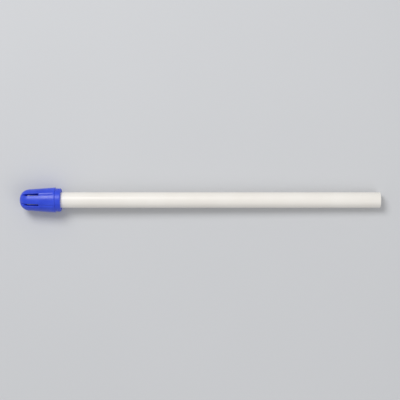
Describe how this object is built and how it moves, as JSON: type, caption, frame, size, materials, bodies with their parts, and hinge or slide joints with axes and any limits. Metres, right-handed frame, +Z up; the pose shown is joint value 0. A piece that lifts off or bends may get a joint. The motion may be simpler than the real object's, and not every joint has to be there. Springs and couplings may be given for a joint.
{
  "type": "saliva ejector",
  "caption": "Disposable suction tube: soft ivory tube that keeps the shape it is bent to, with a slotted round-nosed blue tip pushed on its front end.",
  "frame": {"origin": "centre of the tube's rear cut end, on the tube's axis", "axes": "+X along the tube to the tip, +Y towards the wire in the tube's wall to within half a degree, +Z up"},
  "size_m": [0.15, 0.0104, 0.0104],
  "materials": {
    "tube": "satin",
    "wire": "satin",
    "tip": "satin"
  },
  "bodies": {
    "plug_end": {"tube_plug_end": "tube", "wire_plug_end": "wire"},
    "link_01": {"tube_link_01": "tube", "wire_link_01": "wire"},
    "link_02": {"tube_link_02": "tube", "wire_link_02": "wire"},
    "link_03": {"tube_link_03": "tube", "wire_link_03": "wire"},
    "link_04": {"tube_link_04": "tube", "wire_link_04": "wire"},
    "link_05": {"tube_link_05": "tube", "wire_link_05": "wire"},
    "link_06": {"tube_link_06": "tube", "wire_link_06": "wire"},
    "link_07": {"tube_link_07": "tube", "wire_link_07": "wire"},
    "link_08": {"tube_link_08": "tube", "wire_link_08": "wire"},
    "link_09": {"tube_link_09": "tube", "wire_link_09": "wire"},
    "link_10": {"tube_link_10": "tube", "wire_link_10": "wire"},
    "link_11": {"tube_link_11": "tube", "wire_link_11": "wire"},
    "link_12": {"tube_link_12": "tube", "wire_link_12": "wire"},
    "link_13": {"tube_link_13": "tube", "wire_link_13": "wire"},
    "link_14": {"tube_link_14": "tube", "wire_link_14": "wire"},
    "link_15": {"tube_link_15": "tube", "wire_link_15": "wire"},
    "link_16": {"tube_link_16": "tube", "wire_link_16": "wire"},
    "link_17": {"tube_link_17": "tube", "wire_link_17": "wire"},
    "link_18": {"tube_link_18": "tube", "wire_link_18": "wire"},
    "link_19": {"tube_link_19": "tube", "wire_link_19": "wire"},
    "link_20": {"tube_link_20": "tube", "wire_link_20": "wire"},
    "link_21": {"tube_link_21": "tube", "wire_link_21": "wire"},
    "link_22": {"tube_link_22": "tube", "wire_link_22": "wire"},
    "link_23": {"tube_link_23": "tube", "wire_link_23": "wire"},
    "link_24": {"tube_link_24": "tube", "wire_link_24": "wire"},
    "tip": {"tip": "tip"}
  },
  "joints": [
    {"name": "rear_bend", "type": "hinge", "parent": "plug_end", "child": "link_01", "pos_m": [0.03475, 0.00275, 0.00002], "axis": [0, -0.0087, 1], "range_deg": [-7.5, 7.5]},
    {"name": "rear_bend_02", "type": "hinge", "parent": "link_01", "child": "link_02", "pos_m": [0.04025, 0.00275, 0.00002], "axis": [0, -0.0087, 1], "range_deg": [-7.5, 7.5]},
    {"name": "rear_bend_03", "type": "hinge", "parent": "link_02", "child": "link_03", "pos_m": [0.04575, 0.00275, 0.00002], "axis": [0, -0.0087, 1], "range_deg": [-7.5, 7.5]},
    {"name": "lift", "type": "hinge", "parent": "link_03", "child": "link_04", "pos_m": [0.05125, 0.00275, 0.00002], "axis": [0, -1, -0.0087], "range_deg": [0, 8]},
    {"name": "rear_bend_05", "type": "hinge", "parent": "link_04", "child": "link_05", "pos_m": [0.05675, 0.00275, 0.00002], "axis": [0, -0.0087, 1], "range_deg": [-7.5, 7.5]},
    {"name": "rear_bend_06", "type": "hinge", "parent": "link_05", "child": "link_06", "pos_m": [0.06225, 0.00275, 0.00002], "axis": [0, -0.0087, 1], "range_deg": [-7.5, 7.5]},
    {"name": "rear_bend_07", "type": "hinge", "parent": "link_06", "child": "link_07", "pos_m": [0.06775, 0.00275, 0.00002], "axis": [0, -0.0087, 1], "range_deg": [-7.5, 7.5]},
    {"name": "lift_08", "type": "hinge", "parent": "link_07", "child": "link_08", "pos_m": [0.07325, 0.00275, 0.00002], "axis": [0, -1, -0.0087], "range_deg": [0, 8]},
    {"name": "front_bend", "type": "hinge", "parent": "link_08", "child": "link_09", "pos_m": [0.0777, 0.00275, 0.00002], "axis": [0, -0.0087, 1], "range_deg": [-5, 15]},
    {"name": "front_bend_10", "type": "hinge", "parent": "link_09", "child": "link_10", "pos_m": [0.08109, 0.00275, 0.00002], "axis": [0, -0.0087, 1], "range_deg": [-5, 15]},
    {"name": "front_bend_11", "type": "hinge", "parent": "link_10", "child": "link_11", "pos_m": [0.08448, 0.00275, 0.00002], "axis": [0, -0.0087, 1], "range_deg": [-5, 15]},
    {"name": "lift_12", "type": "hinge", "parent": "link_11", "child": "link_12", "pos_m": [0.08788, 0.00275, 0.00002], "axis": [0, -1, -0.0087], "range_deg": [0, 8]},
    {"name": "front_bend_13", "type": "hinge", "parent": "link_12", "child": "link_13", "pos_m": [0.09127, 0.00275, 0.00002], "axis": [0, -0.0087, 1], "range_deg": [-5, 15]},
    {"name": "front_bend_14", "type": "hinge", "parent": "link_13", "child": "link_14", "pos_m": [0.09467, 0.00275, 0.00002], "axis": [0, -0.0087, 1], "range_deg": [-5, 15]},
    {"name": "front_bend_15", "type": "hinge", "parent": "link_14", "child": "link_15", "pos_m": [0.09806, 0.00275, 0.00002], "axis": [0, -0.0087, 1], "range_deg": [-5, 15]},
    {"name": "lift_16", "type": "hinge", "parent": "link_15", "child": "link_16", "pos_m": [0.10145, 0.00275, 0.00002], "axis": [0, -1, -0.0087], "range_deg": [0, 8]},
    {"name": "front_bend_17", "type": "hinge", "parent": "link_16", "child": "link_17", "pos_m": [0.10485, 0.00275, 0.00002], "axis": [0, -0.0087, 1], "range_deg": [-5, 15]},
    {"name": "front_bend_18", "type": "hinge", "parent": "link_17", "child": "link_18", "pos_m": [0.10824, 0.00275, 0.00002], "axis": [0, -0.0087, 1], "range_deg": [-5, 15]},
    {"name": "front_bend_19", "type": "hinge", "parent": "link_18", "child": "link_19", "pos_m": [0.11163, 0.00275, 0.00002], "axis": [0, -0.0087, 1], "range_deg": [-5, 15]},
    {"name": "lift_20", "type": "hinge", "parent": "link_19", "child": "link_20", "pos_m": [0.11503, 0.00275, 0.00002], "axis": [0, -1, -0.0087], "range_deg": [0, 8]},
    {"name": "front_bend_21", "type": "hinge", "parent": "link_20", "child": "link_21", "pos_m": [0.11842, 0.00275, 0.00002], "axis": [0, -0.0087, 1], "range_deg": [-5, 15]},
    {"name": "front_bend_22", "type": "hinge", "parent": "link_21", "child": "link_22", "pos_m": [0.12182, 0.00275, 0.00002], "axis": [0, -0.0087, 1], "range_deg": [-5, 15]},
    {"name": "front_bend_23", "type": "hinge", "parent": "link_22", "child": "link_23", "pos_m": [0.12521, 0.00275, 0.00002], "axis": [0, -0.0087, 1], "range_deg": [-5, 15]},
    {"name": "lift_24", "type": "hinge", "parent": "link_23", "child": "link_24", "pos_m": [0.1286, 0.00275, 0.00002], "axis": [0, -1, -0.0087], "range_deg": [0, 8]},
    {"name": "tip_pull", "type": "slide", "parent": "link_24", "child": "tip", "axis": [1, 0, 0], "range_m": [0, 0.012]}
  ],
  "couplings": [
    {"joint": "rear_bend_02", "follows": "rear_bend", "ratio": 1},
    {"joint": "rear_bend_03", "follows": "rear_bend", "ratio": 1},
    {"joint": "rear_bend_05", "follows": "rear_bend", "ratio": 1},
    {"joint": "rear_bend_06", "follows": "rear_bend", "ratio": 1},
    {"joint": "rear_bend_07", "follows": "rear_bend", "ratio": 1},
    {"joint": "lift_08", "follows": "lift", "ratio": 1},
    {"joint": "front_bend_10", "follows": "front_bend", "ratio": 1},
    {"joint": "front_bend_11", "follows": "front_bend", "ratio": 1},
    {"joint": "lift_12", "follows": "lift", "ratio": 1},
    {"joint": "front_bend_13", "follows": "front_bend", "ratio": 1},
    {"joint": "front_bend_14", "follows": "front_bend", "ratio": 1},
    {"joint": "front_bend_15", "follows": "front_bend", "ratio": 1},
    {"joint": "lift_16", "follows": "lift", "ratio": 1},
    {"joint": "front_bend_17", "follows": "front_bend", "ratio": 1},
    {"joint": "front_bend_18", "follows": "front_bend", "ratio": 1},
    {"joint": "front_bend_19", "follows": "front_bend", "ratio": 1},
    {"joint": "lift_20", "follows": "lift", "ratio": 1},
    {"joint": "front_bend_21", "follows": "front_bend", "ratio": 1},
    {"joint": "front_bend_22", "follows": "front_bend", "ratio": 1},
    {"joint": "front_bend_23", "follows": "front_bend", "ratio": 1},
    {"joint": "lift_24", "follows": "lift", "ratio": 1}
  ]
}
